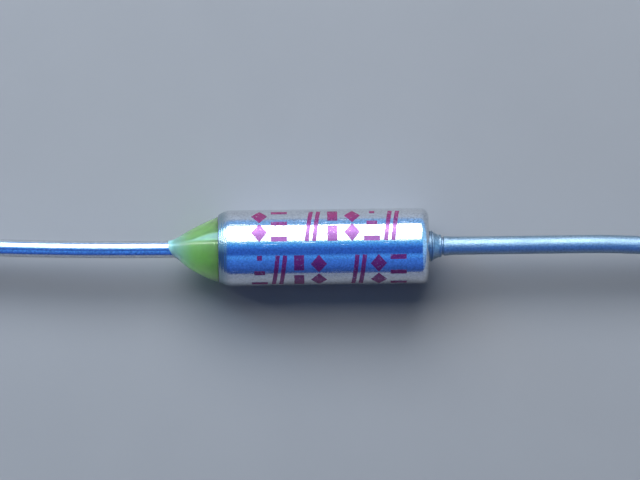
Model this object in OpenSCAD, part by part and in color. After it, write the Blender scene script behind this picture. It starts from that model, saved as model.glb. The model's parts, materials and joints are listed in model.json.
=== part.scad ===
// Axial-lead thermal fuse of the pellet kind, lying along X, in millimetres.
// A plated can with a lead riveted into its closed end holds a pellet, two discs, two springs and a sliding contact.
// A bushing under the can's rolled lip carries the second lead, and a cone of epoxy seals it.
// The origin is the centre of the can on its axis, and +X points out of the closed end.

/* [Can] */
// Outside diameter of the can
can_d = 4.0; // [3.8:0.05:4.4]
// Length of the can from the lip's edge to the closed end
can_len = 11.0; // [10.2:0.1:13]
// Thickness of the can's side wall
can_wall = 0.30; // [0.26:0.01:0.34]
// Thickness of the closed end
end_wall = 0.40; // [0.3:0.05:0.6]
// Outside rounding of the closed end
end_round = 0.45; // [0.3:0.05:0.55]
// Rounding of the closed end inside the can
floor_round = 0.15; // [0.1:0.05:0.2]
// Height of the step inside the open end that the bushing sits on
seat_step = 0.08; // [0.06:0.01:0.1]
// Distance of that step from the lip's edge
seat_depth = 1.6; // [1.3:0.1:1.9]
// Length of the wall that is rolled inward to make the lip
lip_len = 0.75; // [0.6:0.05:0.85]
// Outside radius of the curve that the lip is rolled to
lip_round = 1.3; // [1.2:0.05:1.7]

/* [Bushing] */
// Clearance round the bushing in the can
bushing_fit = 0.02; // [0.01:0.01:0.04]
// Diameter of the neck that stands out of the lip
neck_d = 2.3; // [1.9:0.1:2.5]
// Height of that neck above the lip's edge
neck_len = 0.35; // [0.2:0.05:0.5]
// Diameter of the boss inside the can
boss_d = 1.6; // [1.4:0.05:1.7]
// Length of that boss
boss_len = 0.7; // [0.6:0.05:0.9]
// Clearance round the lead in the bushing's bore
lead_fit = 0.03; // [0.01:0.01:0.05]

/* [Isolated lead] */
// Diameter of the isolated lead
iso_d = 0.90; // [0.8:0.02:1]
// Length of the isolated lead outside the can, along the wire
iso_len = 20; // [14:0.5:40]
// Straight length next to the can before the wire starts to curve
iso_straight = 2.9; // [2.8:0.1:4]
// Radius of the wire's slight curve
iso_curve_r = 131; // [80:1:200]
// Angle that the wire turns through
iso_curve_a = 3.68; // [1:0.01:5]
// Direction that it turns to about the axis, from 0 for +Y to -90 for down
iso_curve_to = -45; // [-180:1:180]
// Diameter of the contact head inside the can
head_d = 1.6; // [1.4:0.05:1.7]
// Thickness of the contact head
head_t = 0.40; // [0.3:0.05:0.5]
// Diameter of the ring that locks the lead on the bushing's neck
lock_d = 1.25; // [1.1:0.05:1.5]
// Thickness of that ring
lock_t = 0.30; // [0.2:0.05:0.4]

/* [Both leads] */
// Chamfer of the wires at their cut ends
cut_chamfer = 0.06; // [0.02:0.01:0.1]
// How much thinner a curved stretch of wire is all round
curve_thin = 0.005; // [0.004:0.001:0.01]
// Length of the curved stretch that each straight stretch reaches over
curve_lap = 0.10; // [0.05:0.05:0.2]

/* [Epoxy seal] */
// Length of the cone outside the lip
seal_len = 2.52; // [2.2:0.02:2.7]
// Length of the foot that creeps along the lead
foot_len = 0.50; // [0.3:0.02:0.7]
// Thickness of the foot where the cone ends
foot_t = 0.25; // [0.1:0.01:0.35]
// Thickness of the foot's outer edge
foot_edge = 0.02; // [0.01:0.01:0.04]
// Radius of the cone's outward curve
seal_round = 8.4; // [5:0.1:14]
// Width of the lip's edge that stays bare round the epoxy
seal_inset = 0.03; // [0.02:0.01:0.1]

/* [Case lead] */
// Diameter of the case lead
case_lead_d = 0.95; // [0.8:0.05:1]
// Length of the case lead from the closed end
case_lead_len = 20; // [14:0.5:40]
// Straight length next to the can before the wire starts to curve
case_straight = 8; // [4:0.5:12]
// Radius of the wire's slight curve
case_curve_r = 47; // [30:1:80]
// Angle that the wire turns through
case_curve_a = 4.88; // [1:0.01:6]
// Direction that it turns to about the axis, from 0 for +Y to -90 for down
case_curve_to = -145; // [-180:1:180]
// Diameter of the rivet shank in the closed end
shank_d = 0.80; // [0.6:0.05:0.9]
// Clearance round that shank
shank_fit = 0.01; // [0.005:0.005:0.03]
// Diameter of the rivet's countersunk head, flush with the inside
rivet_d = 1.40; // [1.2:0.1:1.8]
// Depth of the countersink
rivet_depth = 0.20; // [0.1:0.05:0.25]
// Diameter of the collar's flange
flange_d = 1.62; // [1.4:0.02:2]
// Thickness of the flange
flange_t = 0.19; // [0.1:0.01:0.3]
// Depth of the groove between the flange and the closed end
groove_depth = 0.08; // [0.04:0.01:0.12]
// Width of that groove
groove_w = 0.06; // [0.04:0.01:0.1]
// Diameter at the foot of the collar's cone
cone_d = 1.50; // [1.3:0.02:1.6]
// Diameter at the top of the cone
cone_top_d = 1.14; // [1.05:0.02:1.3]
// Length of the cone
cone_len = 0.34; // [0.2:0.02:0.6]
// Diameter of the thin bead at the top of the cone
bead_d = 1.18; // [1.1:0.02:1.3]
// Length of that bead
bead_len = 0.06; // [0.04:0.01:0.12]
// Diameter at the foot of the last taper to the wire
taper_d = 1.06; // [1:0.02:1.2]
// Length of that taper
taper_len = 0.60; // [0.3:0.05:1]

/* [Sliding contact] */
// Thickness of the star contact's sheet
star_t = 0.15; // [0.1:0.01:0.2]
// Width of the star contact's slanted rim
star_rim = 0.38; // [0.3:0.02:0.45]
// Height of that rim along the axis
star_rise = 0.34; // [0.2:0.02:0.4]
// Clearance between the rim and the can
star_fit = 0.02; // [0.01:0.01:0.05]
// Number of slots that part the contact's fingers
star_slots = 10; // [6:1:12]
// Width of each slot
slot_w = 0.22; // [0.15:0.01:0.3]
// Length of each slot inward from the rim
slot_len = 0.70; // [0.5:0.05:0.8]

/* [Discs and pellet] */
// Thickness of the contact disc and the pressure disc
disc_t = 0.30; // [0.2:0.05:0.4]
// Clearance round the contact disc in the star contact
contact_disc_fit = 0.08; // [0.04:0.02:0.12]
// Clearance round the pressure disc in the can
pressure_disc_fit = 0.05; // [0.02:0.01:0.1]
// Length of the pellet
pellet_len = 3.4; // [2.6:0.1:3.9]
// Clearance round the pellet in the can
pellet_fit = 0.05; // [0.02:0.01:0.1]
// Chamfer of the pellet's edges
pellet_chamfer = 0.22; // [0.2:0.02:0.4]

/* [Springs] */
// Wire diameter of the main spring
main_wire = 0.34; // [0.28:0.02:0.38]
// Number of turns of the main spring
main_turns = 6; // [5:0.5:6.5]
// Clearance round the middle of the main spring in the can
main_fit = 0.18; // [0.1:0.02:0.3]
// Clearance from the main spring's end turns to the edge of the contact disc
main_end_inset = 0.05; // [0.02:0.01:0.1]
// Wire diameter of the trip spring
trip_wire = 0.20; // [0.15:0.01:0.22]
// Number of turns of the trip spring
trip_turns = 3.5; // [3:0.25:4]
// Clearance of the trip spring round the bushing's boss
trip_fit = 0.12; // [0.08:0.02:0.18]

/* [Hidden] */
$fn = 96;

// the can
can_r = can_d / 2;
lip_x = -can_len / 2;
end_x = can_len / 2;
floor_x = end_x - end_wall;
bore_r = can_r - can_wall;
seat_r = bore_r + seat_step;
seat_x = lip_x + seat_depth;
lip_wall = can_wall - seat_step;
roll_x = lip_x + lip_len;
roll_r = can_r - lip_round;

// the lead in the bushing
neck_x = lip_x - neck_len;
boss_x = seat_x + boss_len;
contact_x = boss_x + head_t;
iso_curve_x = lip_x - iso_straight;
iso_end_len = iso_len - iso_straight - iso_curve_r * iso_curve_a * PI / 180;

// the cone of epoxy: its arc runs from its base on the lip to its foot on the lead
seal_base_r = roll_r + sqrt(pow(lip_round, 2) - pow(lip_len, 2)) - seal_inset;
seal_tip_x = lip_x - seal_len;
foot_x = seal_tip_x + foot_len;
foot_r = iso_d / 2 + foot_t;
chord = [seal_base_r - foot_r, lip_x - foot_x];
seal_bow = sqrt(pow(seal_round, 2) - pow(norm(chord) / 2, 2));
seal_centre = [(seal_base_r + foot_r) / 2, (lip_x + foot_x) / 2]
            + seal_bow / norm(chord) * [-chord[1], chord[0]];

// the collar of the case lead, from the closed end outward
flange_x = end_x + groove_w;
cone_x = flange_x + flange_t;
bead_x = cone_x + cone_len;
taper_x = bead_x + bead_len;
wire_x = taper_x + taper_len;
case_curve_x = end_x + case_straight;
case_end_len = case_lead_len - case_straight - case_curve_r * case_curve_a * PI / 180;

// the stack inside, from the contact head to the pellet
rim_r = bore_r - star_fit;
hub_r = rim_r - star_rim;
rim_slope = atan2(star_rise, star_rim);
dish_r = hub_r - star_t * tan(rim_slope / 2);
disc_x = contact_x + star_t;
contact_disc_r = dish_r - contact_disc_fit;
spring_x = disc_x + disc_t;
pellet_x = floor_x - pellet_len;
pressure_x = pellet_x - disc_t;
main_len = pressure_x - spring_x;
main_mid_r = bore_r - main_fit - main_wire / 2;
main_end_r = contact_disc_r - main_end_inset - main_wire / 2;
trip_r = max(boss_d, head_d) / 2 + trip_fit + trip_wire / 2;

case();
case_lead();
pellet();
pressure_disc();
compression_spring();
contact_disc();
star_contact();
trip_spring();
bushing();
isolated_lead();
epoxy_seal();

// Turns a solid that was made along Z so that it lies along X.
module along_x() {
    rotate([0, 90, 0]) children();
}

// A profile's rectangle from the axis out to a radius, between two places along the axis.
module band(r, x0, x1) {
    translate([0, x0]) square([r, x1 - x0]);
}

// A profile's band whose outer corner at x1 is rounded.
module rounded_band(r, x0, x1, round) {
    band(r - round, x0, x1);
    band(r, x0, x1 - round);
    translate([r - round, x1 - round]) circle(round);
}

// The filled profile of the rolled lip, for a wall whose curve has the given radius.
module lip_band(round) {
    band(roll_r, lip_x, roll_x);
    intersection() {
        translate([roll_r, roll_x]) circle(round);
        translate([0, lip_x]) square([can_r, lip_len]);
    }
}

// The straight part of the isolated lead: head, wire through the bushing and locking ring.
module iso_profile() {
    band(head_d / 2, boss_x, contact_x);
    band(iso_d / 2, iso_curve_x - curve_lap, contact_x);
    band(lock_d / 2, neck_x - lock_t, neck_x);
}

// The outer part of a lead, from the origin along +X: a slight curve towards +Y and a straight end.
module wire_end(d, curve_r, curve_a, len) {
    long = len + curve_lap - cut_chamfer;
    translate([0, curve_r, 0]) {
        rotate([0, 0, -90]) rotate_extrude(angle = curve_a)
            translate([curve_r, 0]) circle(d / 2 - curve_thin);
        rotate([0, 0, curve_a]) translate([-curve_lap, -curve_r, 0]) along_x() {
            cylinder(r = d / 2, h = long);
            translate([0, 0, long]) cylinder(r1 = d / 2, r2 = d / 2 - cut_chamfer, h = cut_chamfer);
        }
    }
}

// One turn-by-turn spring standing on z = 0, with closed ends ground flat, as a swept ring of eight corners.
module spring(len, turns, wire, end_r, mid_r) {
    sides = 8;
    steps = round(turns * 24);
    rise = wire * 1.06;
    low = wire * 0.3;
    inner = len - 2 * (low + rise);
    function height(u) = u < 1 ? low + rise * u
        : u > turns - 1 ? len - low - rise * (turns - u)
        : low + rise + inner * (u - 1) / (turns - 2);
    function radius(u) = end_r + (mid_r - end_r) * sin(180 * u / turns);
    function corner(u, j) = let (
        a = 360 * u,
        b = 360 * j / sides,
        r = radius(u) + wire / 2 * cos(b),
        z = max(0, min(len, height(u) + wire / 2 * sin(b)))
    ) [r * cos(a), r * sin(a), z];
    points = [for (i = [0:steps]) for (j = [0:sides - 1]) corner(turns * i / steps, j)];
    walls = [for (i = [0:steps - 1]) for (j = [0:sides - 1]) let (
        a = i * sides + j,
        b = i * sides + (j + 1) % sides
    ) each [[a, a + sides, b], [b, a + sides, b + sides]]];
    first = [[for (j = [0:sides - 1]) j]];
    last = [[for (j = [0:sides - 1]) steps * sides + sides - 1 - j]];
    polyhedron(points, concat(walls, first, last), convexity = 10);
}

module case() {
    color("silver") along_x() rotate_extrude() difference() {
        union() {
            rounded_band(can_r, roll_x, end_x, end_round);
            lip_band(lip_round);
        }
        lip_band(lip_round - lip_wall);
        band(seat_r, roll_x, seat_x);
        rounded_band(bore_r, seat_x, floor_x, floor_round);
        band(shank_d / 2 + shank_fit, floor_x, end_x);
        polygon([[0, floor_x], [rivet_d / 2 + shank_fit, floor_x],
                 [shank_d / 2 + shank_fit, floor_x + rivet_depth], [0, floor_x + rivet_depth]]);
    }
}

module case_lead() {
    color("lightgray") {
        along_x() rotate_extrude() polygon([
            [0, floor_x],
            [rivet_d / 2, floor_x],
            [shank_d / 2, floor_x + rivet_depth],
            [shank_d / 2, end_x],
            [flange_d / 2 - groove_depth, end_x],
            [flange_d / 2 - groove_depth, flange_x],
            [flange_d / 2, flange_x],
            [flange_d / 2, cone_x],
            [cone_d / 2, cone_x],
            [cone_top_d / 2, bead_x],
            [bead_d / 2, bead_x],
            [bead_d / 2, taper_x],
            [taper_d / 2, taper_x],
            [case_lead_d / 2, wire_x],
            [case_lead_d / 2, case_curve_x + curve_lap],
            [0, case_curve_x + curve_lap]
        ]);
        translate([case_curve_x, 0, 0]) rotate([case_curve_to, 0, 0])
            wire_end(case_lead_d, case_curve_r, case_curve_a, case_end_len);
    }
}

module pellet() {
    r = bore_r - pellet_fit;
    color("khaki") along_x() rotate_extrude() polygon([
        [0, pellet_x],
        [r - pellet_chamfer, pellet_x],
        [r, pellet_x + pellet_chamfer],
        [r, floor_x - pellet_chamfer],
        [r - pellet_chamfer, floor_x],
        [0, floor_x]
    ]);
}

module pressure_disc() {
    color("goldenrod") along_x() rotate_extrude() band(bore_r - pressure_disc_fit, pressure_x, pellet_x);
}

module compression_spring() {
    color("slategray") along_x() translate([0, 0, spring_x])
        spring(main_len, main_turns, main_wire, main_end_r, main_mid_r);
}

module contact_disc() {
    color("goldenrod") along_x() rotate_extrude() band(contact_disc_r, disc_x, spring_x);
}

module star_contact() {
    rim_t = star_t / cos(rim_slope);
    color("silver") along_x() difference() {
        rotate_extrude() polygon([
            [0, contact_x],
            [hub_r, contact_x],
            [rim_r, contact_x + star_rise],
            [rim_r, contact_x + star_rise + rim_t],
            [dish_r, disc_x],
            [0, disc_x]
        ]);
        for (i = [0:star_slots - 1])
            rotate([0, 0, i * 360 / star_slots])
                translate([rim_r - slot_len, -slot_w / 2, contact_x - star_t])
                    cube([2 * slot_len, slot_w, star_rise + 4 * star_t]);
    }
}

module trip_spring() {
    color("slategray") along_x() translate([0, 0, seat_x])
        spring(contact_x - seat_x, trip_turns, trip_wire, trip_r, trip_r);
}

module bushing() {
    color("white") along_x() rotate_extrude() difference() {
        union() {
            band(neck_d / 2, neck_x, lip_x);
            lip_band(lip_round - lip_wall - bushing_fit);
            band(seat_r - bushing_fit, roll_x, seat_x);
            band(boss_d / 2, seat_x, boss_x);
        }
        band(iso_d / 2 + lead_fit, neck_x, boss_x);
    }
}

module isolated_lead() {
    color("lightgray") {
        along_x() rotate_extrude() iso_profile();
        translate([iso_curve_x, 0, 0]) rotate([iso_curve_to, 0, 0]) mirror([1, 0, 0])
            wire_end(iso_d, iso_curve_r, iso_curve_a, iso_end_len);
    }
}

module epoxy_seal() {
    color("seagreen") along_x() rotate_extrude() difference() {
        union() {
            intersection() {
                translate(seal_centre) circle(seal_round);
                band(seal_base_r, foot_x, lip_x);
            }
            polygon([[0, seal_tip_x], [iso_d / 2 + foot_edge, seal_tip_x], [foot_r, foot_x], [0, foot_x]]);
        }
        iso_profile();
        band(neck_d / 2, neck_x, lip_x);
    }
}
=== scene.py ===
"""An axial-lead thermal fuse: plated can, wires, epoxy seal, printed marks and the works inside."""

import json
import math

import bmesh
import bpy
from mathutils import Matrix, Vector, noise


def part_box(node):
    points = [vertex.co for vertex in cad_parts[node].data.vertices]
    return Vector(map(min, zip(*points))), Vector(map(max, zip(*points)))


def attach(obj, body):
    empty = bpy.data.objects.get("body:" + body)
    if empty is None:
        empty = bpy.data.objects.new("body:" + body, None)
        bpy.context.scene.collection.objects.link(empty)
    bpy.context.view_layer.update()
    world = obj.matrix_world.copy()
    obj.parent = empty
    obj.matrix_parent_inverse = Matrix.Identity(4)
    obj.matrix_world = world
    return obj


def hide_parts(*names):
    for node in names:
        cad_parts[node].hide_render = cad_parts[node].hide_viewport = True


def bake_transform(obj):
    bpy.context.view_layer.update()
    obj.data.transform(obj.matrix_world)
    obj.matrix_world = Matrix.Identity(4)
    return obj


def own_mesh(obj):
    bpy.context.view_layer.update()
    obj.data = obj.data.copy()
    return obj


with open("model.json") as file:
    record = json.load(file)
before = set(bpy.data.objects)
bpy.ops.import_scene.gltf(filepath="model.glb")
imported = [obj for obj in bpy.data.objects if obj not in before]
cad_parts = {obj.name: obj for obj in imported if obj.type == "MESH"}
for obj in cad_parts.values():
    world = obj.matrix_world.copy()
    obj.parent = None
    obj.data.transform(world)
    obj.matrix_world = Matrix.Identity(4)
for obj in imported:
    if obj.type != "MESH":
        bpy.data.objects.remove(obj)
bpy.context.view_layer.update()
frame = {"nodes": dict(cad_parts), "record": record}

# Units: the fuse's sizes are in millimetres, and the depths of bumps and the stage are in metres
MM = 0.001
SHARP = math.radians(32)


def extent(node):
    """Lowest and highest corner of a CAD node, in millimetres."""
    low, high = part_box(node)
    return Vector(low) / MM, Vector(high) / MM


MOUNTS = {mount["name"]: mount for mount in frame["record"]["mounts"]}

# The can
can_low, can_high = extent("case")
LIP_X = can_low.x
END_X = can_high.x
CAN_R = MOUNTS["case_body"]["dims"]["r_mm"]
CAN_SIDES = 192
CAN_STEP = 0.25
CAN_WALL = 0.30
END_WALL = 0.40
END_ROUND = 0.45
FLOOR_ROUND = 0.15
SEAT_STEP = 0.08
SEAT_X = LIP_X + 1.60
LIP_LEN = 0.75
LIP_ROUND = 1.30
LIP_WALL = CAN_WALL - SEAT_STEP
LIP_EDGE_ROUND = 0.03
ROLL_X = LIP_X + LIP_LEN
ROLL_R = CAN_R - LIP_ROUND
BORE_R = CAN_R - CAN_WALL
FLOOR_X = END_X - END_WALL
LIP_EDGE_R = ROLL_R + math.sqrt(LIP_ROUND**2 - LIP_LEN**2)

# Marks of the rolling tool on the lip: place inward from the lip's edge, depth and half width
ROLL_MARKS = ((0.10, 0.006, 0.025), (0.22, 0.008, 0.03), (0.37, 0.004, 0.03))

# Both wires
WIRE_SIDES = 64
WIRE_STEP = 0.2
WIRE_CHAMFER = 0.06
CURVE_LAP = 0.10

# The wire in the bushing
ISO_R = MOUNTS["isolated_lead_wire"]["dims"]["r_mm"]
HEAD_R = 0.80
HEAD_T = 0.40
HEAD_CHAMFER = 0.04
BOSS_X = SEAT_X + 0.70
NECK_X = LIP_X - 0.35
LOCK_R = 0.625
LOCK_T = 0.30

# The seal
SEAL_TIP_X = extent("epoxy_seal")[0].x
SEAL_BASE_R = LIP_EDGE_R - 0.03
SEAL_ROUND = 8.4
SEAL_TIP_T = 0.012
SEAL_SIDES = 160
FOOT_X = SEAL_TIP_X + 0.50
FOOT_R = ISO_R + 0.25
FOOT_STEPS = 14
PLUG_LEN = 1.5
PLUG_R = 1.45

# How the seal sags and how uneven it is, with counts of its bumps along it and round it
SEAL_SAG = 0.05
SAG_SPEED = 1.15
SEAL_UNEVEN = 0.012
BUMPS_ALONG = 0.9
BUMPS_ROUND = 1.6
SETTLE_START = 0.85

# How far along X the seal's edge on the wire creeps, slants and bows, and the length over which that fades
TIP_CREEP = -0.08
TIP_LEAN = -0.17
TIP_BOW = 0.17
TIP_EASE = 1.2

# The wire on the closed end
CASE_LEAD_R = MOUNTS["case_lead_wire"]["dims"]["r_mm"]
SHANK_R = 0.40
RIVET_R = 0.70
RIVET_DEPTH = 0.20
RIVET_GAP = 0.01
TAPER_LEN = 1.25
TAPER_ROUND = 0.3
PLAIN_WIRE_START = 1.5

# The collar of that wire: distance out from the can's end, radius and rounding of each corner
COLLAR = (
    (0.0, 0.73, 0),
    (0.05, 0.73, 0),
    (0.06, 0.80, 0.02),
    (0.14, 0.80, 0.03),
    (0.16, 0.75, 0.01),
    (0.18, 0.75, 0.01),
    (0.19, 0.81, 0.02),
    (0.26, 0.81, 0.03),
    (0.29, 0.73, 0.02),
    (0.55, 0.58, 0.02),
    (0.59, 0.60, 0.015),
    (0.65, 0.60, 0.02),
    (0.67, 0.46, 0.02),
    (0.75, 0.46, 0.02),
    (0.79, 0.515, 0.03),
)
# Places along the collar, out from the can's end, where the shade in its crevices is painted on as dark
# rings
COLLAR_PAINTED_SHADE_PLACES = (0.03, 0.17, 0.71)
COLLAR_SKEW = 0.10
SKEW_R = 0.80
SKEW_START = END_X + 0.06
SKEW_STOP = END_X + 0.70

# The works inside
SPRING_START = extent("compression_spring")[0].x
SPRING_END = extent("compression_spring")[1].x
TRIP_START = extent("trip_spring")[0].x
TRIP_END = extent("trip_spring")[1].x
COIL_SIDES = 20
COIL_STEPS = 56
CLOSED_RISE = 1.06
GROUND_HEIGHT = 0.3
PELLET_START = extent("pellet")[0].x
PELLET_R = extent("pellet")[1].z
PELLET_CHAMFER = 0.22
PELLET_ROUND = 0.03
PELLET_SIDES = 96


# Building meshes

def link(name, points, faces, corners=None):
    """A mesh object from points in millimetres, with outward faces, smooth but for its sharp edges."""
    mesh = bpy.data.meshes.new(name)
    mesh.from_pydata([Vector(p) * MM for p in points], [], faces)
    if corners:
        layer = mesh.uv_layers.new(name="Turned")
        for loop, place in zip(layer.data, corners):
            loop.uv = place
    work = bmesh.new()
    work.from_mesh(mesh)
    bmesh.ops.recalc_face_normals(work, faces=work.faces)
    work.to_mesh(mesh)
    work.free()
    mesh.shade_smooth()
    mesh.set_sharp_from_angle(angle=SHARP)
    obj = bpy.data.objects.new(name, mesh)
    bpy.context.scene.collection.objects.link(obj)
    return obj


def arc(centre_x, centre_r, radius, start, stop, steps):
    """Points of an arc in a turned outline. Angles are in degrees from +X towards the outside."""
    angles = [math.radians(start + (stop - start) * i / steps) for i in range(steps + 1)]
    return [(centre_x + radius * math.cos(a), centre_r + radius * math.sin(a)) for a in angles]


def rounded(corners, steps=5):
    """An outline from (x, r, round) corners, each rounded by an arc where its round is above 0."""
    outline = []
    for i, (x, r, bend) in enumerate(corners):
        here = Vector((x, r))
        before = Vector(corners[i - 1][:2]) - here
        after = Vector(corners[(i + 1) % len(corners)][:2]) - here
        if bend == 0:
            outline.append((x, r))
            continue
        half = before.angle(after) / 2
        reach = bend / math.tan(half)
        centre = here + (before.normalized() + after.normalized()).normalized() * bend / math.sin(half)
        first = here + before.normalized() * reach - centre
        turn = first.angle_signed(here + after.normalized() * reach - centre)
        for k in range(steps + 1):
            spoke = first.copy()
            spoke.rotate(Matrix.Rotation(-turn * k / steps, 2))
            outline.append(tuple(centre + spoke))
    return outline


def spread(start, stop, step):
    """Evenly spaced places from start to stop, both included, about a step apart."""
    count = max(1, round(abs(stop - start) / step))
    return [start + (stop - start) * i / count for i in range(count + 1)]


def axis_route(x):
    """Centre line along X: the point there, and the two directions across it."""
    return Vector((x, 0, 0)), Vector((0, 1, 0)), Vector((0, 0, 1))


def wire_route(node):
    """A lead's centre line by the distance out from the can's middle, where its bend starts, and its length.

    The lead runs straight along X, curves slightly and ends straight along its mount.
    """
    mount = MOUNTS[node + "_wire"]
    heading = Vector(mount["axis"]).normalized()
    way = math.copysign(1, heading.x)
    ahead = Vector((way, 0, 0))
    side = Vector((0, heading.y, heading.z)).normalized()
    bend = ahead.angle(heading)
    face_r = mount["dims"]["r_mm"] - WIRE_CHAMFER
    tip_x = max(abs(corner.x) for corner in extent(node)) - face_r * math.sin(bend)
    anchor = Vector(mount["pos_m"]) / MM
    tip = anchor + heading * (tip_x - abs(anchor.x)) / abs(heading.x)
    end_len = mount["dims"]["length_mm"] - CURVE_LAP + WIRE_CHAMFER
    end_start = tip - heading * end_len
    bend_r = end_start.dot(side) / (1 - math.cos(bend))
    bend_start = abs(end_start.x) - bend_r * math.sin(bend)
    bend_len = bend_r * bend
    across = ahead.cross(side)

    def at(out):
        turned_by = min(max((out - bend_start) / bend_r, 0), bend)
        tangent = ahead * math.cos(turned_by) + side * math.sin(turned_by)
        point = ahead * min(out, bend_start)
        point += ahead * bend_r * math.sin(turned_by) + side * bend_r * (1 - math.cos(turned_by))
        point += tangent * max(out - bend_start - bend_len, 0)
        return point, across, across.cross(tangent)

    return at, bend_start, bend_start + bend_len + end_len


def turned(name, outline, route=axis_route, sides=160, ring=False, warp=None):
    """A piece turned round a route.

    Its outline is (along, radius) points, from axis to axis or a closed ring.
    """
    points = []
    rings = []
    for along, radius in outline:
        centre, left, up = route(along)
        count = 1 if radius == 0 else sides
        rings.append(range(len(points), len(points) + count))
        for j in range(count):
            angle = math.tau * j / sides
            point = centre + (left * math.cos(angle) + up * math.sin(angle)) * radius
            points.append(warp(point, along, radius, angle) if warp else point)
    girth = max(radius for _, radius in outline)
    pairs = list(zip(range(len(rings)), range(1, len(rings))))
    if ring:
        pairs.append((len(rings) - 1, 0))
    faces = []
    corners = []
    for a, b in pairs:
        for j in range(sides):
            face = []
            for row, step in ((a, j), (a, j + 1), (b, j + 1), (b, j)):
                corner = rings[row][step % len(rings[row])]
                if corner not in face:
                    face.append(corner)
                    corners.append((outline[row][0], math.tau * step / sides * girth))
            faces.append(face)
    return link(name, points, faces, corners)


# The can

def lip_outline():
    """Outer outline of the rolled lip from its edge to the body, with the rolling tool's marks."""
    start = math.degrees(math.acos(-LIP_LEN / LIP_ROUND))
    outline = []
    for x, r in arc(ROLL_X, ROLL_R, LIP_ROUND, start, 90, 60)[2:]:
        for inward, depth, half_width in ROLL_MARKS:
            r -= depth * math.exp(-(((x - LIP_X - inward) / half_width) ** 2))
        outline.append((x, r))
    return outline


def make_case():
    inner_round = LIP_ROUND - LIP_WALL
    inner_start = math.degrees(math.acos(-LIP_LEN / inner_round))
    lip_hole_r = ROLL_R + math.sqrt(inner_round**2 - LIP_LEN**2)
    end = rounded([
        (ROLL_X, CAN_R, 0),
        (END_X, CAN_R, END_ROUND),
        (END_X, SHANK_R + RIVET_GAP, 0),
    ], steps=18)[1:]
    inside = rounded([
        (FLOOR_X + RIVET_DEPTH, SHANK_R + RIVET_GAP, 0),
        (FLOOR_X, RIVET_R + RIVET_GAP, 0),
        (FLOOR_X, BORE_R, FLOOR_ROUND),
        (SEAT_X, BORE_R, 0),
        (SEAT_X, BORE_R + SEAT_STEP, 0),
    ])
    body = [(x, CAN_R) for x in spread(ROLL_X, END_X - END_ROUND, CAN_STEP)[1:-1]]
    inner_lip = arc(ROLL_X, ROLL_R, inner_round, 90, inner_start, 16)
    edge = [(LIP_X, lip_hole_r + LIP_EDGE_ROUND), (LIP_X, LIP_EDGE_R - LIP_EDGE_ROUND)]
    outline = edge + lip_outline() + body + end + inside + inner_lip[:-1]
    return turned("fuse_can", outline, sides=CAN_SIDES, ring=True)


# The epoxy seal

def seal_arc():
    """Outer arc of the seal from its base on the lip to its foot on the wire."""
    base = Vector((LIP_X, SEAL_BASE_R))
    foot = Vector((FOOT_X, FOOT_R))
    chord = foot - base
    bow = math.sqrt(SEAL_ROUND**2 - (chord.length / 2) ** 2)
    centre = (base + foot) / 2 + Vector((-chord.y, chord.x)).normalized() * bow
    start = math.degrees(math.atan2(base.y - centre.y, base.x - centre.x))
    stop = math.degrees(math.atan2(foot.y - centre.y, foot.x - centre.x))
    return arc(centre.x, centre.y, SEAL_ROUND, start, stop, 40)


def seal_warp(point, along, radius, angle):
    """The cured drop sags a little to one side and is slightly uneven, and its edge bows round the wire."""
    if radius == PLUG_R:
        return point
    tip_share = max(0, 1 - (along - SEAL_TIP_X) / TIP_EASE) ** 2
    around = Vector((0, math.cos(angle), math.sin(angle)))
    edge = TIP_CREEP + TIP_LEAN * around.y + TIP_BOW * around.y**2
    point = point + Vector((edge * tip_share, 0, 0))
    if radius < ISO_R + SEAL_TIP_T * 1.5:
        return point
    share = min(1, max(0, (along - SEAL_TIP_X) / (LIP_X - SEAL_TIP_X)))
    ease = math.sin(math.pi * min(1, share * SAG_SPEED) / 2)
    bumpy = noise.noise(Vector((along * BUMPS_ALONG, around.y * BUMPS_ROUND, around.z * BUMPS_ROUND)))
    settle = 1 - max(0, (share - SETTLE_START) / (1 - SETTLE_START))
    return point + Vector((0, -SEAL_SAG * ease, 0)) + around * bumpy * SEAL_UNEVEN * ease * settle


def make_seal():
    """The resin's cone and its plug in the can's mouth, with no bore, so that light travels through it."""
    outer = seal_arc()
    last = Vector(outer[-1])
    slope = (last - Vector(outer[-2])).normalized()
    tip = Vector((SEAL_TIP_X, ISO_R + SEAL_TIP_T))
    bend = last + slope * (tip.y - last.y) / slope.y
    foot = []
    for i in range(1, FOOT_STEPS + 1):
        t = i / FOOT_STEPS
        foot.append(tuple(last * (1 - t) ** 2 + bend * 2 * t * (1 - t) + tip * t**2))
    plug = [(LIP_X + PLUG_LEN, 0), (LIP_X + PLUG_LEN, PLUG_R), (LIP_X, PLUG_R)]
    outline = plug + outer + foot + [(SEAL_TIP_X, 0)]
    return turned("epoxy_cone", outline, sides=SEAL_SIDES, warp=seal_warp)


# The two leads

def wire_end(start, length, radius):
    """Outline of a plain wire from a place to its chamfered end."""
    outline = [(out, radius) for out in spread(start, length - WIRE_CHAMFER, WIRE_STEP)]
    return outline + [(length, radius - WIRE_CHAMFER), (length, 0)]


def make_isolated_lead():
    route, _, length = wire_route("isolated_lead")
    head_out = -BOSS_X
    lock_out = -NECK_X
    outline = [
        (head_out - HEAD_T, 0),
        (head_out - HEAD_T, HEAD_R - HEAD_CHAMFER),
        (head_out - HEAD_T + HEAD_CHAMFER, HEAD_R),
        (head_out, HEAD_R),
        (head_out, ISO_R),
        (lock_out, ISO_R),
        (lock_out, LOCK_R),
        (lock_out + LOCK_T, LOCK_R),
    ]
    outline += wire_end(lock_out + LOCK_T, length, ISO_R)
    return turned("sealed_wire", outline, route, sides=WIRE_SIDES)


def collar_warp(point, along, radius, angle):
    """The collar's rings were upset a little out of square to the wire."""
    if not SKEW_START < along < SKEW_STOP:
        return point
    share = (along - SKEW_START) / (SKEW_STOP - SKEW_START)
    return point + Vector((-COLLAR_SKEW * math.sin(math.pi * share) * (point.y / SKEW_R) ** 2, 0, 0))


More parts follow.
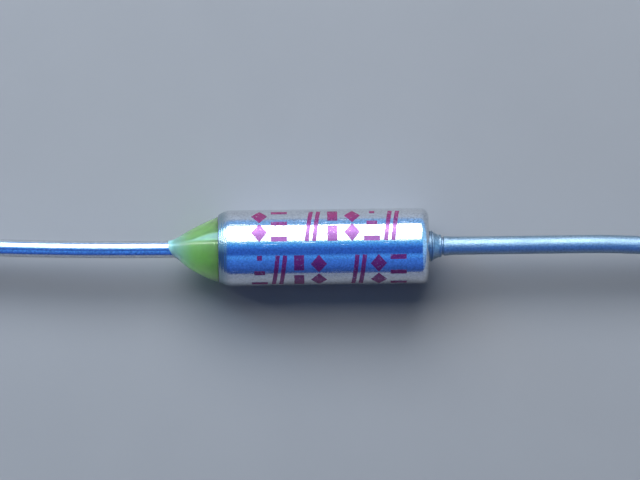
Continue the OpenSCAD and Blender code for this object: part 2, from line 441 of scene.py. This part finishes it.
def make_case_lead():
    route, bend_start, length = wire_route("case_lead")
    collar = [(FLOOR_X + RIVET_DEPTH, SHANK_R, 0), (END_X, SHANK_R, 0)]
    collar += [(END_X + out, r, bend) for out, r, bend in COLLAR]
    collar += [
        (END_X + TAPER_LEN, CASE_LEAD_R, TAPER_ROUND),
        (bend_start, CASE_LEAD_R, 0),
        (FLOOR_X, CASE_LEAD_R, 0),
    ]
    outline = [(FLOOR_X, 0), (FLOOR_X, RIVET_R)] + rounded(collar)[:-2]
    outline += wire_end(END_X + PLAIN_WIRE_START, length, CASE_LEAD_R)
    return turned("case_wire", outline, route, sides=WIRE_SIDES, warp=collar_warp)


# The works inside

def make_spring(name, start, stop, turns, wire, end_r, mid_r):
    """A round-wire spring with closed ends ground flat, narrower at its ends where end_r is below mid_r."""
    steps = round(turns * COIL_STEPS)
    length = stop - start
    rise = wire * CLOSED_RISE
    low = wire * GROUND_HEIGHT
    inner = length - 2 * (low + rise)
    points = []
    for i in range(steps + 1):
        u = turns * i / steps
        if u < 1:
            height = low + rise * u
        elif u > turns - 1:
            height = length - low - rise * (turns - u)
        else:
            height = low + rise + inner * (u - 1) / (turns - 2)
        coil_r = end_r + (mid_r - end_r) * math.sin(math.pi * u / turns)
        for j in range(COIL_SIDES):
            b = math.tau * j / COIL_SIDES
            r = coil_r + wire / 2 * math.cos(b)
            along = min(max(height + wire / 2 * math.sin(b), 0), length)
            points.append((start + along, r * math.sin(math.tau * u), -r * math.cos(math.tau * u)))
    faces = [tuple(range(COIL_SIDES)), tuple(steps * COIL_SIDES + j for j in range(COIL_SIDES))]
    for i in range(steps):
        for j in range(COIL_SIDES):
            a = i * COIL_SIDES + j
            b = i * COIL_SIDES + (j + 1) % COIL_SIDES
            faces.append((a, b, b + COIL_SIDES, a + COIL_SIDES))
    return link(name, points, faces)


def make_pellet():
    outline = rounded([
        (PELLET_START, 0, 0),
        (PELLET_START, PELLET_R - PELLET_CHAMFER, PELLET_ROUND),
        (PELLET_START + PELLET_CHAMFER, PELLET_R, PELLET_ROUND),
        (FLOOR_X - PELLET_CHAMFER, PELLET_R, PELLET_ROUND),
        (FLOOR_X, PELLET_R - PELLET_CHAMFER, PELLET_ROUND),
        (FLOOR_X, 0, 0),
    ])
    return turned("wax_pellet", outline, sides=PELLET_SIDES)


# The printed marks

INK_PROUD = 0.006
INK_SUNK = 0.002
INK_UNEVEN = 0.016
INK_RAGS_PER_MM = 7
INK_STEP = 0.06
STROKE = 0.26
MARK_W = 0.84
MARK_H = 2.06
MARK_PITCH = 1.03
UPPER_ROW = math.radians(34.2)
LOWER_ROW = math.radians(-46.0)

# Shares of a mark's width or height, and of the stroke
STEP_INSET = 0.17
BLOCK_W = 0.62
BLOCK_H = 0.42
SLANT = 0.28
SLANT_STROKE = 0.85
LOZENGE_H = 0.47
LOZENGE_TAPER = 0.94

ink_points = []
ink_faces = []


def on_can(x, height, proud):
    """A point on the can at a height round it, in millimetres of arc from its top line."""
    r = CAN_R + proud
    return x, r * math.sin(height / CAN_R), r * math.cos(height / CAN_R)


def ink_line(start, stop, width):
    """A line of ink between two places given as (x, height), with slightly uneven edges.

    The width is a number, or a function of the share of the way along.
    """
    start = Vector(start)
    stop = Vector(stop)
    ahead = (stop - start).normalized()
    outward = Vector((ahead.y, -ahead.x))
    steps = max(2, round((stop - start).length / INK_STEP))
    first = len(ink_points)
    for i in range(steps + 1):
        share = i / steps
        reach = (width(share) if callable(width) else width) / 2
        for side in (1, -1):
            edge = start.lerp(stop, share) + outward * side * reach
            ragged = noise.noise(Vector((edge.x * INK_RAGS_PER_MM, edge.y * INK_RAGS_PER_MM, side)))
            edge += outward * ragged * INK_UNEVEN
            ink_points.append(on_can(*edge, INK_PROUD))
            ink_points.append(on_can(*edge, -INK_SUNK))
    for i in range(steps):
        a = first + 4 * i
        b = a + 4
        ink_faces.extend([
            (a, a + 2, b + 2, b),
            (a + 1, b + 1, b + 3, a + 3),
            (a, b, b + 1, a + 1),
            (a + 2, a + 3, b + 3, b + 2),
        ])
    last = first + 4 * steps
    ink_faces.append((first, first + 1, first + 3, first + 2))
    ink_faces.append((last, last + 2, last + 3, last + 1))


def flat_bars(x, low, inset_step=0.0):
    """Three flat bars, one above another, each shorter at both ends by a step than the one below."""
    rise = (MARK_H - STROKE) / 2
    for i in range(3):
        inset = inset_step * i
        height = low + STROKE / 2 + i * rise
        ink_line((x + inset, height), (x + MARK_W - inset, height), STROKE)


def stepped_bars(x, low):
    """Three flat bars that grow shorter upward."""
    flat_bars(x, low, MARK_W * STEP_INSET)


def stacked(x, low, tall, width):
    """Two solid shapes, one above the other."""
    middle = x + MARK_W / 2
    for bottom in (low, low + MARK_H - tall):
        ink_line((middle, bottom), (middle, bottom + tall), width)


def twin_blocks(x, low):
    """Two solid blocks, one above the other."""
    stacked(x, low, MARK_H * BLOCK_H, MARK_W * BLOCK_W)


def lozenges(x, low):
    """Two solid lozenges, one above the other."""
    stacked(x, low, MARK_H * LOZENGE_H, lambda share: MARK_W * (1 - LOZENGE_TAPER * abs(2 * share - 1)))


def slant_bars(x, low):
    """Two slanting bars side by side."""
    lean = MARK_W * SLANT
    thin = STROKE * SLANT_STROKE
    for left in (x + thin / 2, x + MARK_W - lean - thin / 2):
        ink_line((left, low), (left + lean, low + MARK_H), thin)


# Groups of marks: their row, where they start along X, and what they are
MARK_GROUPS = (
    (UPPER_ROW, -3.77, (lozenges, flat_bars)),
    (UPPER_ROW, -0.99, (slant_bars, twin_blocks, lozenges, stepped_bars, slant_bars)),
    (LOWER_ROW, -3.77, (stepped_bars, slant_bars, twin_blocks, lozenges)),
    (LOWER_ROW, 1.41, (slant_bars, lozenges, flat_bars)),
)


def make_marks():
    for row, start, marks_in_group in MARK_GROUPS:
        for i, mark in enumerate(marks_in_group):
            mark(start + i * MARK_PITCH, row * CAN_R - MARK_H / 2)
    return link("printed_marks", ink_points, ink_faces)


# Material nodes

# Stretches of a noise texture's values that are moved to a whole range
GRAIN_SPAN = (0.3, 0.7)
CLOUD_SPAN = (0.35, 0.68)
PATCH_SPAN = (0.35, 0.7)
DULL_SPAN = (0.3, 0.75)
PIT_SPAN = (0.30, 0.62)
SCRATCH_SPAN = (0.64, 0.70)
BARE_SPAN = (0.60, 0.72)


def new_material(name):
    material = bpy.data.materials.new(name)
    material.use_nodes = True
    return material, material.node_tree, material.node_tree.nodes["Principled BSDF"]


def fill(tree, node, inputs):
    """Sets a node's inputs to values or links them to sockets."""
    for key, value in inputs.items():
        if isinstance(value, bpy.types.NodeSocket):
            tree.links.new(value, node.inputs[key])
        else:
            node.inputs[key].default_value = value


def put(tree, kind, inputs=None, **settings):
    """A new node with its settings and inputs."""
    node = tree.nodes.new(kind)
    for key, value in settings.items():
        setattr(node, key, value)
    fill(tree, node, inputs or {})
    return node


def calc(tree, operation, *values):
    """The result of a Math node."""
    return put(tree, "ShaderNodeMath", dict(enumerate(values)), operation=operation).outputs[0]


def vector_calc(tree, operation, *values, result="Vector"):
    """A result of a Vector Math node."""
    return put(tree, "ShaderNodeVectorMath", dict(enumerate(values)), operation=operation).outputs[result]


def split(tree, vector):
    """The X, Y and Z of a vector."""
    return put(tree, "ShaderNodeSeparateXYZ", {0: vector}).outputs


def colour(shade):
    return (*shade, 1.0)


def millimetres(tree):
    """Coordinates on the piece, in millimetres."""
    place = put(tree, "ShaderNodeTexCoord").outputs["Object"]
    return vector_calc(tree, "MULTIPLY", place, (1 / MM, 1 / MM, 1 / MM))


def grain(tree, place, scale, detail=3.0, roughness=0.6):
    """Noise with a number of spots to the millimetre."""
    settings = {"Vector": place, "Scale": scale, "Detail": detail, "Roughness": roughness}
    return put(tree, "ShaderNodeTexNoise", settings).outputs["Fac"]


def between(tree, value, low, high, to_low=0.0, to_high=1.0):
    """A value's stretch from low to high, moved to another range."""
    settings = {"Value": value, "From Min": low, "From Max": high, "To Min": to_low, "To Max": to_high}
    return put(tree, "ShaderNodeMapRange", settings).outputs["Result"]


def blended(tree, share, first, second):
    """A colour between two colours."""
    return put(tree, "ShaderNodeMix", {0: share, 6: first, 7: second}, data_type="RGBA").outputs[2]


def relief(tree, height, depth, under=None):
    """A bump of the given depth in metres, over another one if there is one."""
    settings = {"Height": height, "Distance": depth, "Strength": 1.0}
    if under:
        settings["Normal"] = under
    return put(tree, "ShaderNodeBump", settings).outputs["Normal"]


def lines(tree, along, round_):
    """Fine lines on a turned piece: counts per millimetre along it and round it."""
    place = put(tree, "ShaderNodeUVMap", uv_map="Turned").outputs["UV"]
    place = vector_calc(tree, "MULTIPLY", place, (along, round_, 0))
    return put(tree, "ShaderNodeTexNoise", {"Vector": place, "Scale": 1, "Detail": 4}).outputs["Fac"]


# Plating

PATCHES_PER_MM = 0.8
PITS_PER_MM = 9
PIT_SHARE = 0.67
NICKS_PER_MM = 0.32
NICK_R = 0.09
NICK_DEPTH = 1.2e-5
SCRATCH_LINES = (0.55, 26)
SCRATCH_DEPTH = 1.0e-6
WORKED_ROUGH = 0.10
# Where worked the plating is rougher, and darker in this colour, partly as painted shade that dims the lip's
# mirrored light
WORKED_AND_PAINTED_SHADE = (0.34, 0.43, 0.46)
# Painted shade in crevices: the width of each dark ring and its colour
CREVICE_PAINTED_SHADE_W = 0.025
CREVICE_PAINTED_SHADE = (0.28, 0.34, 0.42)


def scratches(tree):
    """Sparse short scratches along a turned piece."""
    return between(tree, lines(tree, *SCRATCH_LINES), *SCRATCH_SPAN)


def nicks(tree, place):
    """Small nicks, one in every few millimetres."""
    spots = put(tree, "ShaderNodeTexVoronoi", {"Vector": place, "Scale": NICKS_PER_MM})
    reach = NICK_R * NICKS_PER_MM
    return between(tree, spots.outputs["Distance"], reach / 2, reach)


def plated(
    name, bright, dull, rough, grain_size, grain_depth, line_depth, line_counts, worked=None, painted_shade_places=()
):
    """Plating with grain, pits, drawing lines, scratches and nicks, duller in patches and where worked.

    The worked stretch is a place along X where it starts and one where it is dullest, and darker there
    partly as painted shade.
    The last argument lists places along X where a ring of painted shade, for the shade in a crevice, darkens
    the plating all round.
    """
    material, tree, shader = new_material(name)
    place = millimetres(tree)
    patches = grain(tree, place, PATCHES_PER_MM, 2)
    pits = between(tree, grain(tree, place, PITS_PER_MM, 2), *PIT_SPAN)
    sheet = blended(tree, between(tree, patches, *PATCH_SPAN), colour(bright), colour(dull))
    sheet = blended(tree, pits, colour(Vector(bright) * PIT_SHARE), sheet)
    at_x = split(tree, place)["X"]
    # Painted shade: a thin dark ring round each given place along X, standing in for the shade in a crevice
    for crevice in painted_shade_places:
        painted_shade_mask = calc(tree, "COMPARE", at_x, crevice, CREVICE_PAINTED_SHADE_W)
        sheet = blended(tree, painted_shade_mask, sheet, colour(CREVICE_PAINTED_SHADE))
    roughness = between(tree, patches, *DULL_SPAN, *rough)
    if worked:
        sheet = blended(tree, between(tree, at_x, *worked), sheet, colour(WORKED_AND_PAINTED_SHADE))
        roughness = calc(tree, "ADD", roughness, between(tree, at_x, *worked, 0, WORKED_ROUGH))
    bumps = relief(tree, lines(tree, *line_counts), line_depth)
    bumps = relief(tree, scratches(tree), -SCRATCH_DEPTH, bumps)
    bumps = relief(tree, nicks(tree, place), NICK_DEPTH, bumps)
    bumps = relief(tree, grain(tree, place, grain_size), grain_depth, bumps)
    fill(tree, shader, {"Base Color": sheet, "Metallic": 1.0, "Roughness": roughness, "Normal": bumps})
    return material


# Resin: two greens in its clouds, a brighter green by the can as painted light for the light lost near its
# base, and paler ones where it runs out thin on the wire
CLOUDY_GREENS = ((0.13, 0.46, 0.05), (0.15, 0.50, 0.07))
PAINTED_LIGHT_GREEN = (0.21, 0.74, 0.09)
THIN_GREEN = (0.19, 0.78, 0.64)
RIM_GREEN = (0.40, 0.84, 0.85)

# Where along X the painted-light green and the thin one set in and are full, and for the rim how far from
# the edge
PAINTED_LIGHT_STRETCH = (LIP_X - 0.85, LIP_X + 0.25)
THIN_STRETCH = (SEAL_TIP_X + 1.75, SEAL_TIP_X + 0.05)
RIM_STRETCH = (0.30, 0.10)

# How they slant across the seal, how ragged the clouds make them, and how fast the thin green fades
PAINTED_LIGHT_SLANT = -0.3
PAINTED_LIGHT_RAGGED = 0.3
THIN_SLANT = 0.15
THIN_RAGGED = 0.15
THIN_FADE = 3


def epoxy():
    """Glossy green casting resin, translucent, and pale where it runs out thin on the wire."""
    material, tree, shader = new_material("green_epoxy")
    place = millimetres(tree)
    at = split(tree, place)
    cloud = between(tree, grain(tree, place, 1.3, 2), *CLOUD_SPAN)
    first, second = CLOUDY_GREENS
    green = blended(tree, cloud, colour(first), colour(second))
    # Painted light: a brighter green by the can, reaching further on the lower side, stands in for the light
    # lost near the seal's base
    ragged = calc(tree, "MULTIPLY_ADD", cloud, PAINTED_LIGHT_RAGGED, at["X"])
    painted_light_share = between(tree, calc(tree, "MULTIPLY_ADD", at["Y"], PAINTED_LIGHT_SLANT, ragged), *PAINTED_LIGHT_STRETCH)
    green = blended(tree, painted_light_share, green, colour(PAINTED_LIGHT_GREEN))
    slanted = calc(tree, "MULTIPLY_ADD", at["Y"], THIN_SLANT, at["X"])
    thin = between(tree, calc(tree, "MULTIPLY_ADD", cloud, THIN_RAGGED, slanted), *THIN_STRETCH)
    thin = calc(tree, "POWER", thin, THIN_FADE)
    green = blended(tree, thin, green, colour(THIN_GREEN))
    side = between(tree, at["Y"], -ISO_R, ISO_R, -1, 1)
    edge = calc(tree, "MULTIPLY_ADD", side, TIP_BOW, TIP_LEAN)
    edge = calc(tree, "MULTIPLY_ADD", edge, side, SEAL_TIP_X + TIP_CREEP)
    rim = between(tree, calc(tree, "SUBTRACT", at["X"], edge), *RIM_STRETCH)
    swell = relief(tree, grain(tree, place, 0.9, 1), 2.0e-5)
    fill(tree, shader, {
        "Base Color": blended(tree, rim, green, colour(RIM_GREEN)),
        "Roughness": between(tree, grain(tree, place, 6), *GRAIN_SPAN, 0.16, 0.26),
        "Normal": relief(tree, grain(tree, place, 22), 4.0e-7, swell),
        "Coat Weight": 1.0,
        "Coat Roughness": 0.05,
        "Subsurface Weight": between(tree, calc(tree, "ADD", thin, rim), 0.2, 1.4, 1.0, 0.1),
        "Subsurface Radius": (0.7, 1.0, 0.6),
        "Subsurface Scale": 0.02,
    })
    return material


# Ink: two thicknesses of it, and the metal where it took badly
INK_SHADES = ((0.28, 0.014, 0.09), (0.18, 0.007, 0.055))
BARE_SHADE = (0.86, 0.80, 0.86)
INK_SHEEN = (0.75, 0.40, 1.0)


def ink():
    """Thin crimson ink with a strong gloss, patchy where it took badly."""
    material, tree, shader = new_material("crimson_ink")
    place = millimetres(tree)
    bare = between(tree, grain(tree, place, 9, 4, 0.7), *BARE_SPAN)
    thick = between(tree, grain(tree, place, 2.2, 3), *PATCH_SPAN)
    first, second = INK_SHADES
    film = blended(tree, thick, colour(first), colour(second))
    fill(tree, shader, {
        "Base Color": blended(tree, bare, film, colour(BARE_SHADE)),
        "Metallic": bare,
        "Roughness": between(tree, thick, 0, 1, 0.2, 0.3),
        "Normal": relief(tree, grain(tree, place, 12), 1.5e-6),
        "IOR": 2.4,
        "Specular Tint": colour(INK_SHEEN),
    })
    return material


def plain_grain(name, light, dark, rough, size, depth, metallic=0.0):
    """A mottled surface with a fine grain, for the pieces inside."""
    material, tree, shader = new_material(name)
    place = millimetres(tree)
    share = between(tree, grain(tree, place, size, 4), *CLOUD_SPAN)
    fill(tree, shader, {
        "Base Color": blended(tree, share, colour(light), colour(dark)),
        "Metallic": metallic,
        "Roughness": between(tree, grain(tree, place, size * 2.5), *GRAIN_SPAN, *rough),
        "Normal": relief(tree, grain(tree, place, size * 4), depth),
    })
    return material


# Dressing the frame

def dress(obj, material, node, body="shell"):
    """Gives a piece its material, puts it in place of its CAD node and lets it ride on a body."""
    obj.data.materials.clear()
    obj.data.materials.append(material)
    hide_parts(node)
    if body:
        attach(obj, body)
    return obj


# The can gets a ring of painted shade at the lip's edge, where it meets the seal
can_finish = plated(
    "bright_plating", bright=(0.80, 0.82, 0.85), dull=(0.74, 0.76, 0.79), rough=(0.09, 0.16),
    grain_size=12, grain_depth=3.5e-6, line_depth=4.0e-7, line_counts=(0.12, 16),
    worked=(ROLL_X - 0.1, LIP_X + 0.2), painted_shade_places=(LIP_X,),
)
left_wire_finish = plated(
    "wire_plating", bright=(0.82, 0.85, 0.88), dull=(0.75, 0.78, 0.81), rough=(0.16, 0.25),
    grain_size=12, grain_depth=1.2e-6, line_depth=8.0e-7, line_counts=(0.3, 14),
)
# Grainy, dull plating for the case lead. Its blue tint is a painted cool cast standing in for the cool light
# it mirrors, and its collar gets rings of painted shade
right_wire_finish_painted_cool = plated(
    "grainy_wire_plating", bright=(0.40, 0.51, 0.58), dull=(0.33, 0.43, 0.50), rough=(0.40, 0.47),
    grain_size=14, grain_depth=2.6e-5, line_depth=1.5e-6, line_counts=(0.6, 12),
    painted_shade_places=[END_X + out for out in COLLAR_PAINTED_SHADE_PLACES],
)
spring_finish = plain_grain(
    "drawn_spring_steel", light=(0.46, 0.47, 0.49), dark=(0.34, 0.35, 0.37), rough=(0.25, 0.4),
    size=6, depth=1e-6, metallic=1.0,
)
pellet_finish = plain_grain(
    "pressed_wax", light=(0.80, 0.72, 0.50), dark=(0.68, 0.58, 0.37), rough=(0.6, 0.8),
    size=5, depth=8e-6,
)
ceramic_finish = plain_grain(
    "fired_ceramic", light=(0.90, 0.89, 0.86), dark=(0.80, 0.79, 0.75), rough=(0.5, 0.7),
    size=7, depth=4e-6,
)
brass_finish = plain_grain(
    "blanked_brass", light=(0.74, 0.58, 0.28), dark=(0.60, 0.45, 0.20), rough=(0.25, 0.4),
    size=5, depth=1e-6, metallic=1.0,
)
contact_finish = plain_grain(
    "plated_contact", light=(0.90, 0.89, 0.86), dark=(0.80, 0.79, 0.77), rough=(0.15, 0.28),
    size=8, depth=6e-7, metallic=1.0,
)

dress(make_case(), can_finish, "case")
dress(make_seal(), epoxy(), "epoxy_seal")
dress(make_isolated_lead(), left_wire_finish, "isolated_lead")
dress(make_case_lead(), right_wire_finish_painted_cool, "case_lead")

marks = make_marks()
marks.data.materials.append(ink())
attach(marks, "shell")

main_spring = dress(
    make_spring("main_coil", SPRING_START, SPRING_END, turns=6, wire=0.34, end_r=0.943, mid_r=1.35),
    spring_finish, "compression_spring", None,
)
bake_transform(main_spring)
trip_spring = dress(
    make_spring("trip_coil", TRIP_START, TRIP_END, turns=3.5, wire=0.20, end_r=1.02, mid_r=1.02),
    spring_finish, "trip_spring", None,
)
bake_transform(trip_spring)

pellet = dress(make_pellet(), pellet_finish, "pellet")
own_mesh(pellet)

for node, finish in (
    ("bushing", ceramic_finish),
    ("pressure_disc", brass_finish),
    ("contact_disc", brass_finish),
    ("star_contact", contact_finish),
):
    frame["nodes"][node].data.materials.clear()
    frame["nodes"][node].data.materials.append(finish)


# Stage

FLOOR_HALF = 4.0
FLOOR_SHADES = ((0.42, 0.435, 0.47), (0.435, 0.45, 0.485))
FLOOR_CLOUDS_PER_MM = 0.12
FAR_FLOOR = (0.46, 0.48, 0.52)
FAR_STRETCH = (0.035, 0.15)


def shows_background(tree):
    """1 for rays that see the background: straight from the camera, or by way of metal or resin."""
    path = put(tree, "ShaderNodeLightPath").outputs
    shows = calc(tree, "MAXIMUM", path["Is Camera Ray"], path["Is Glossy Ray"])
    return calc(tree, "MAXIMUM", shows, path["Is Transmission Ray"])


def make_floor():
    """A plain pale floor under the can, which stays as pale far from the lights."""
    mesh = bpy.data.meshes.new("floor")
    z = can_low.z * MM
    corners = [(x * FLOOR_HALF, y * FLOOR_HALF, z) for x, y in ((-1, -1), (1, -1), (1, 1), (-1, 1))]
    mesh.from_pydata(corners, [], [(0, 1, 2, 3)])
    floor = bpy.data.objects.new("floor", mesh)
    bpy.context.scene.collection.objects.link(floor)
    material, tree, shader = new_material("pale_floor")
    share = between(tree, grain(tree, millimetres(tree), FLOOR_CLOUDS_PER_MM, 2), *GRAIN_SPAN)
    first, second = FLOOR_SHADES
    shade = blended(tree, share, colour(first), colour(second))
    fill(tree, shader, {"Base Color": shade, "Roughness": 0.4, "Specular IOR Level": 0.3})
    place = put(tree, "ShaderNodeTexCoord").outputs["Object"]
    away = vector_calc(tree, "LENGTH", place, result="Value")
    far = calc(tree, "MULTIPLY", between(tree, away, *FAR_STRETCH), shows_background(tree))
    even = put(tree, "ShaderNodeEmission", {"Color": colour(FAR_FLOOR)})
    both = put(tree, "ShaderNodeMixShader", {0: far, 1: shader.outputs[0], 2: even.outputs[0]})
    fill(tree, tree.nodes["Material Output"], {"Surface": both.outputs[0]})
    mesh.materials.append(material)


LIGHT_TINT = (0.96, 0.98, 1.0)
BLUE_TINT = (0.38, 0.68, 1.0)
BOX_AWAY = 0.25
BOX_W = 0.26
BOX_SHIFT = -0.03
BOX_ANGLES = (15.5, 66)
BOX_ROUND = 0.09
BOX_EDGE = 0.9
BOX_SPLIT = (0.48, 0.52)
BOX_LEVELS = (4.6, 2.0)
STRIP_WAY = (-0.766, 0.341, 0.545)


def make_light(name, place, facing, size, radiance, tint=LIGHT_TINT):
    """A soft rectangular light at a place, facing along a direction, its size given as width and height."""
    data = bpy.data.lights.new(name, "AREA")
    data.shape = "RECTANGLE"
    data.size, data.size_y = size
    data.energy = radiance * 4 * data.size * data.size_y
    data.color = tint
    light = bpy.data.objects.new(name, data)
    light.location = place
    light.rotation_euler = (-Vector(facing)).to_track_quat("Z", "Y").to_euler()
    bpy.context.scene.collection.objects.link(light)
    return light


def make_soft_box():
    """A soft box above the far side, with rounded corners and its lower half brighter."""
    start, stop = (math.radians(angle) for angle in BOX_ANGLES)
    height = 2 * BOX_AWAY * math.tan((stop - start) / 2)
    middle = (start + stop) / 2
    away = Vector((0, math.sin(middle), math.cos(middle)))
    place = away * BOX_AWAY + Vector((BOX_SHIFT, 0, 0))
    light = make_light("soft_box", place, -away, (BOX_W, height), 1.0)
    light.data.use_nodes = True
    tree = light.data.node_tree
    share = put(tree, "ShaderNodeNewGeometry").outputs["Parametric"]
    reach = vector_calc(tree, "ABSOLUTE", vector_calc(tree, "SUBTRACT", share, (0.5, 0.5, 0)))
    inner = (BOX_ROUND - BOX_W / 2, BOX_ROUND - height / 2, 0)
    reach = vector_calc(tree, "MULTIPLY_ADD", reach, (BOX_W, height, 0), inner)
    reach = vector_calc(tree, "MAXIMUM", reach, (0, 0, 0))
    reach = vector_calc(tree, "LENGTH", reach, result="Value")
    inside = between(tree, reach, BOX_ROUND, BOX_ROUND * BOX_EDGE)
    level = between(tree, split(tree, share)["Y"], *BOX_SPLIT, *BOX_LEVELS)
    fill(tree, tree.nodes["Emission"], {"Strength": calc(tree, "MULTIPLY", inside, level)})


def make_lights():
    """The soft box, a bluer panel upright at the far left and a thin strip of light at the left."""
    make_soft_box()
    make_light("blue_panel", (-0.23, 0.20, 0.19), (0, -1, 0), (0.143, 0.22), 4.4, BLUE_TINT)
    strip = Vector(STRIP_WAY) * BOX_AWAY
    make_light("light_strip", strip, -strip, (0.012, 0.20), 6.0)


# What the metal mirrors: degrees from overhead, towards the far side, and a colour
SURROUND = (
    (-90, (0.03, 0.065, 0.21)),
    (-70, (0.027, 0.09, 0.37)),
    (-67, (0.035, 0.11, 0.44)),
    (-41, (0.05, 0.19, 0.70)),
    (-38, (0.07, 0.28, 0.82)),
    (-29, (0.07, 0.28, 0.82)),
    (-26, (0.024, 0.095, 0.45)),
    (-8, (0.03, 0.12, 0.52)),
    (4, (0.06, 0.30, 0.90)),
    (14, (0.16, 0.60, 1.0)),
    (70, (0.16, 0.43, 0.87)),
    (90, (0.28, 0.45, 0.75)),
)
# The same at the left end
SURROUND_LEFT = (
    (-90, (0.05, 0.10, 0.23)),
    (-25, (0.05, 0.11, 0.28)),
    (12, (0.22, 0.48, 0.75)),
    (45, (0.42, 0.70, 0.90)),
    (90, (0.34, 0.50, 0.72)),
)
# And at the right end
SURROUND_RIGHT = (
    (-90, (0.12, 0.21, 0.43)),
    (-70, (0.15, 0.27, 0.53)),
    (-33, (0.22, 0.45, 0.83)),
    (10, (0.33, 0.69, 1.10)),
    (50, (0.34, 0.70, 1.10)),
    (90, (0.20, 0.35, 0.63)),
)
SURROUND_LEVEL = 1.13
ENDS_BLEND = (0.42, 0.56)
AMBIENT = (0.95, 0.98, 1.0)
AMBIENT_LEVEL = 0.07


def surround_ramp(tree, lean, stops):
    """A colour by the angle from overhead."""
    ramp = put(tree, "ShaderNodeValToRGB", {"Fac": between(tree, lean, -math.pi / 2, math.pi / 2)})
    elements = ramp.color_ramp.elements
    while len(elements) < len(stops):
        elements.new(0.5)
    for element, (angle, shade) in zip(elements, stops):
        element.position = (angle + 90) / 180
        element.color = colour(shade)
    return ramp.outputs["Color"]


def make_surround():
    """A cool surround that shows in the metal, and an even light for everything else."""
    world = bpy.data.worlds.new("surround")
    bpy.context.scene.world = world
    world.use_nodes = True
    tree = world.node_tree
    tree.nodes.clear()
    way = split(tree, put(tree, "ShaderNodeTexCoord").outputs["Generated"])
    lean = calc(tree, "ARCTAN2", way["Y"], way["Z"])
    view = surround_ramp(tree, lean, SURROUND)
    for side, stops in ((-1, SURROUND_LEFT), (1, SURROUND_RIGHT)):
        share = between(tree, way["X"], *(side * place for place in ENDS_BLEND))
        view = blended(tree, share, view, surround_ramp(tree, lean, stops))
    seen = put(tree, "ShaderNodeBackground", {"Color": view, "Strength": SURROUND_LEVEL})
    even = put(tree, "ShaderNodeBackground", {"Color": colour(AMBIENT), "Strength": AMBIENT_LEVEL})
    shows = shows_background(tree)
    both = put(tree, "ShaderNodeMixShader", {0: shows, 1: even.outputs[0], 2: seen.outputs[0]})
    put(tree, "ShaderNodeOutputWorld", {"Surface": both.outputs[0]})


# Camera: how far above the horizon it looks down from, its roll, and the point at the picture's middle
CAMERA_HEIGHT = math.radians(85)
CAMERA_ROLL = math.radians(0.7)
CAMERA_AWAY = 0.30
CAMERA_AIM = Vector((-0.188, 0.388, 0)) * MM
VIEW_WIDTH = 33.5 * MM
SENSOR = 36.0


def make_camera():
    data = bpy.data.cameras.new("camera")
    data.sensor_width = SENSOR
    data.lens = SENSOR * CAMERA_AWAY / VIEW_WIDTH
    data.clip_start = 0.01
    data.clip_end = 10
    camera = bpy.data.objects.new("camera", data)
    back = Vector((0, -math.cos(CAMERA_HEIGHT), math.sin(CAMERA_HEIGHT)))
    up = Vector((0, math.sin(CAMERA_HEIGHT), math.cos(CAMERA_HEIGHT)))
    right = Vector((1, 0, 0))
    rolled_right = right * math.cos(CAMERA_ROLL) - up * math.sin(CAMERA_ROLL)
    rolled_up = right * math.sin(CAMERA_ROLL) + up * math.cos(CAMERA_ROLL)
    turn = Matrix((rolled_right, rolled_up, back)).transposed()
    camera.matrix_world = Matrix.Translation(CAMERA_AIM + back * CAMERA_AWAY) @ turn.to_4x4()
    bpy.context.scene.collection.objects.link(camera)
    bpy.context.scene.camera = camera


make_floor()
make_lights()
make_surround()
make_camera()
bpy.context.scene.view_settings.view_transform = "Standard"
